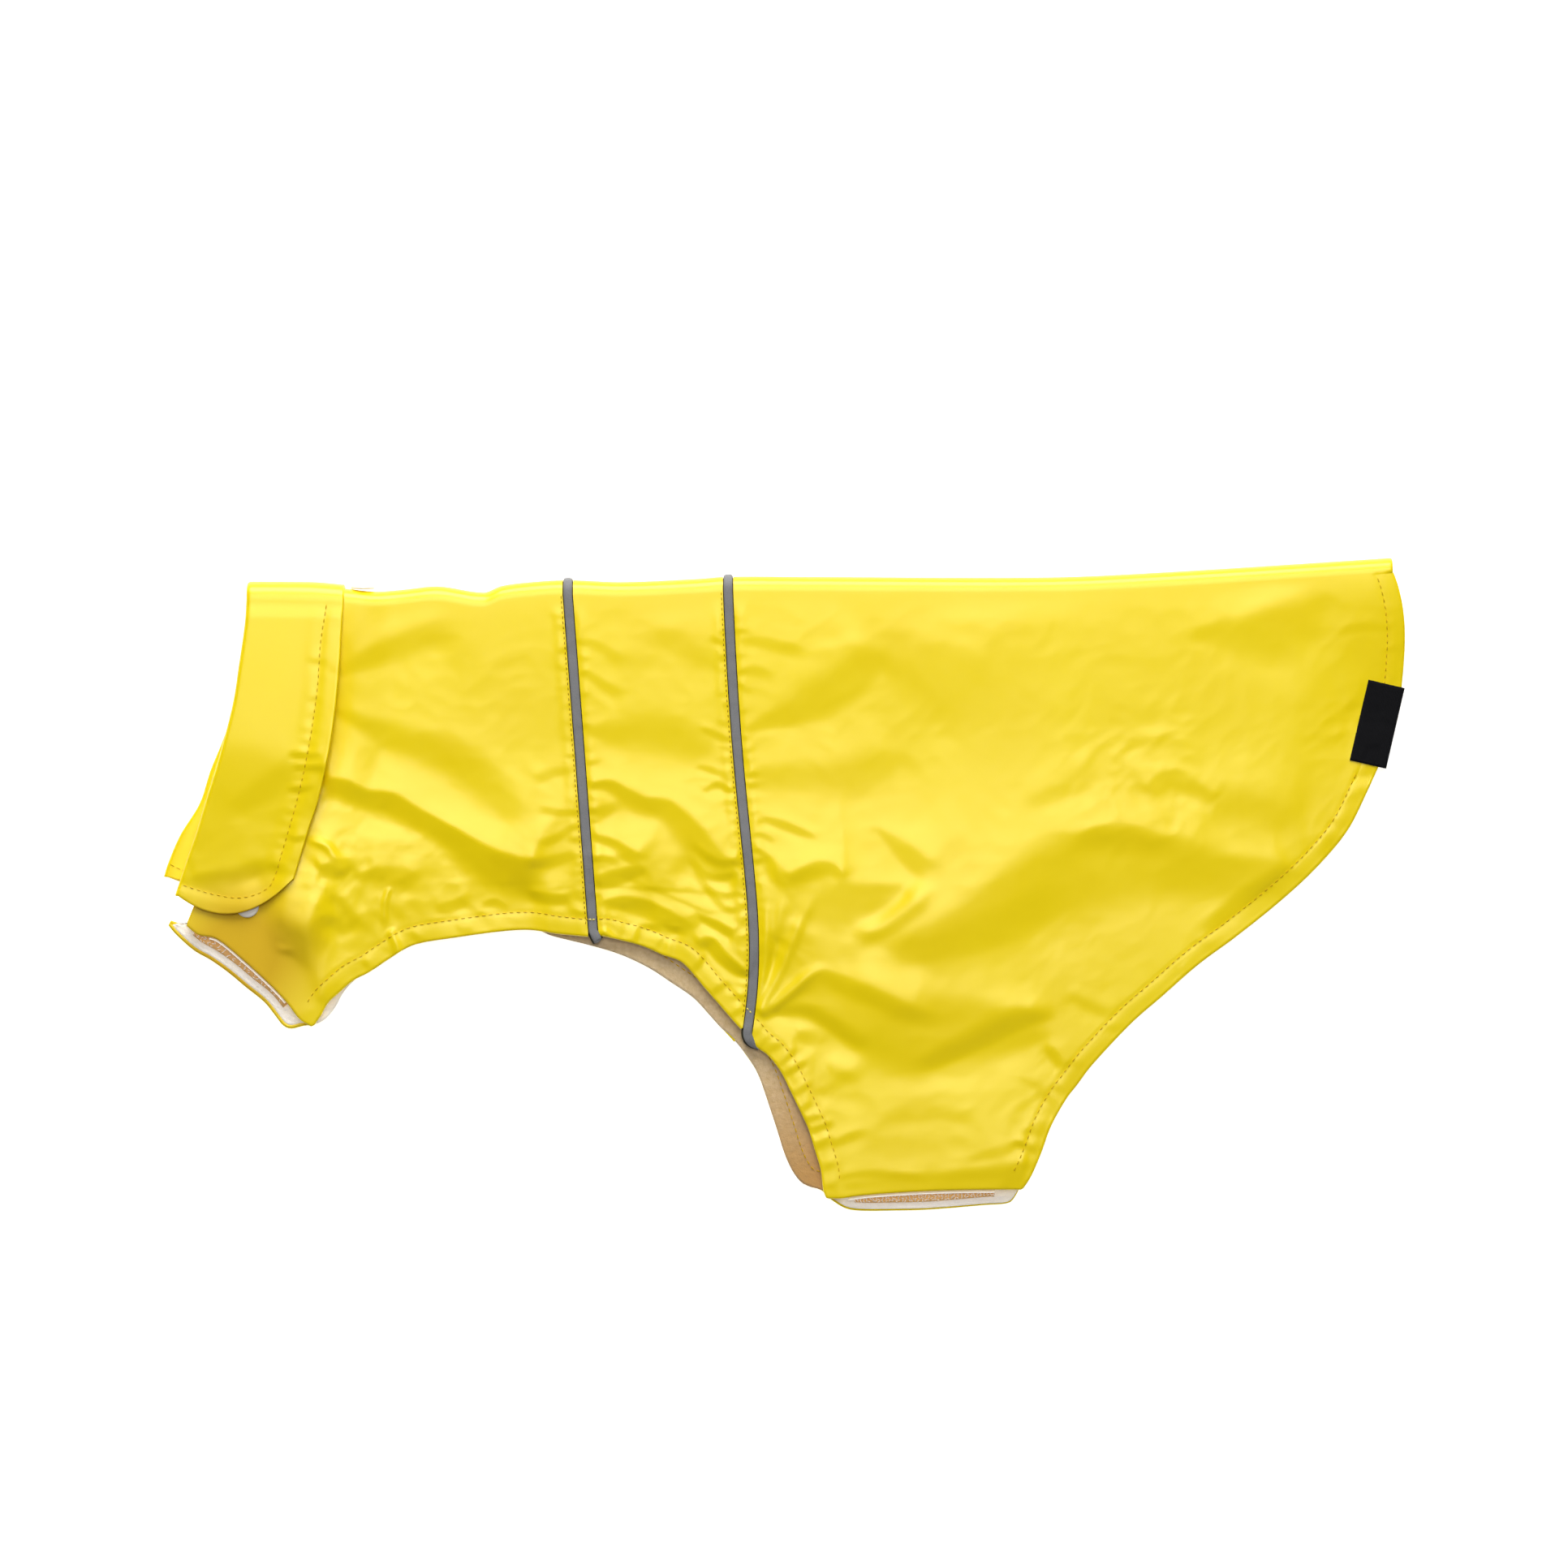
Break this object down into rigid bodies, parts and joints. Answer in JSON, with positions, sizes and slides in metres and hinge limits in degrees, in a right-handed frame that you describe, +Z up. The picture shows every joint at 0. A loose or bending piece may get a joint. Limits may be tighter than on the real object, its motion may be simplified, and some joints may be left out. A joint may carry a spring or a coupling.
{
  "type": "dog raincoat",
  "caption": "Fleece-lined dog raincoat lying on its side, folded along the back, with a fold-over collar, two piped seams and chest and belly closing tabs.",
  "frame": {"origin": "middle of the laid coat's outline, on the surface it lies on", "axes": "+X from the neck to the tail, +Y from the closing tabs to the folded back, +Z up from the surface"},
  "size_m": [0.5361, 0.282, 0.0164],
  "materials": {
    "shell_nylon": "yellow coated nylon with a soft sheen",
    "lining_fleece": "cream brushed fleece, matte",
    "reflective_piping": "grey reflective tape, satin",
    "hook_tape": "tan hook-and-loop pile, matte",
    "snap_plastic": "white plastic, soft gloss",
    "label_woven": "black woven ribbon, matte"
  },
  "bodies": {
    "root": {"shell_front": "shell_nylon", "shell_middle": "shell_nylon", "shell_rear": "shell_nylon", "collar": "shell_nylon", "lining": "lining_fleece", "piping_front": "reflective_piping", "piping_rear": "reflective_piping", "tape_chest_near": "hook_tape", "tape_chest_far": "hook_tape", "tape_belly_near": "hook_tape", "tape_belly_far": "hook_tape", "snap_back": "snap_plastic", "snap_chest": "snap_plastic", "label": "label_woven"}
  },
  "joints": []
}
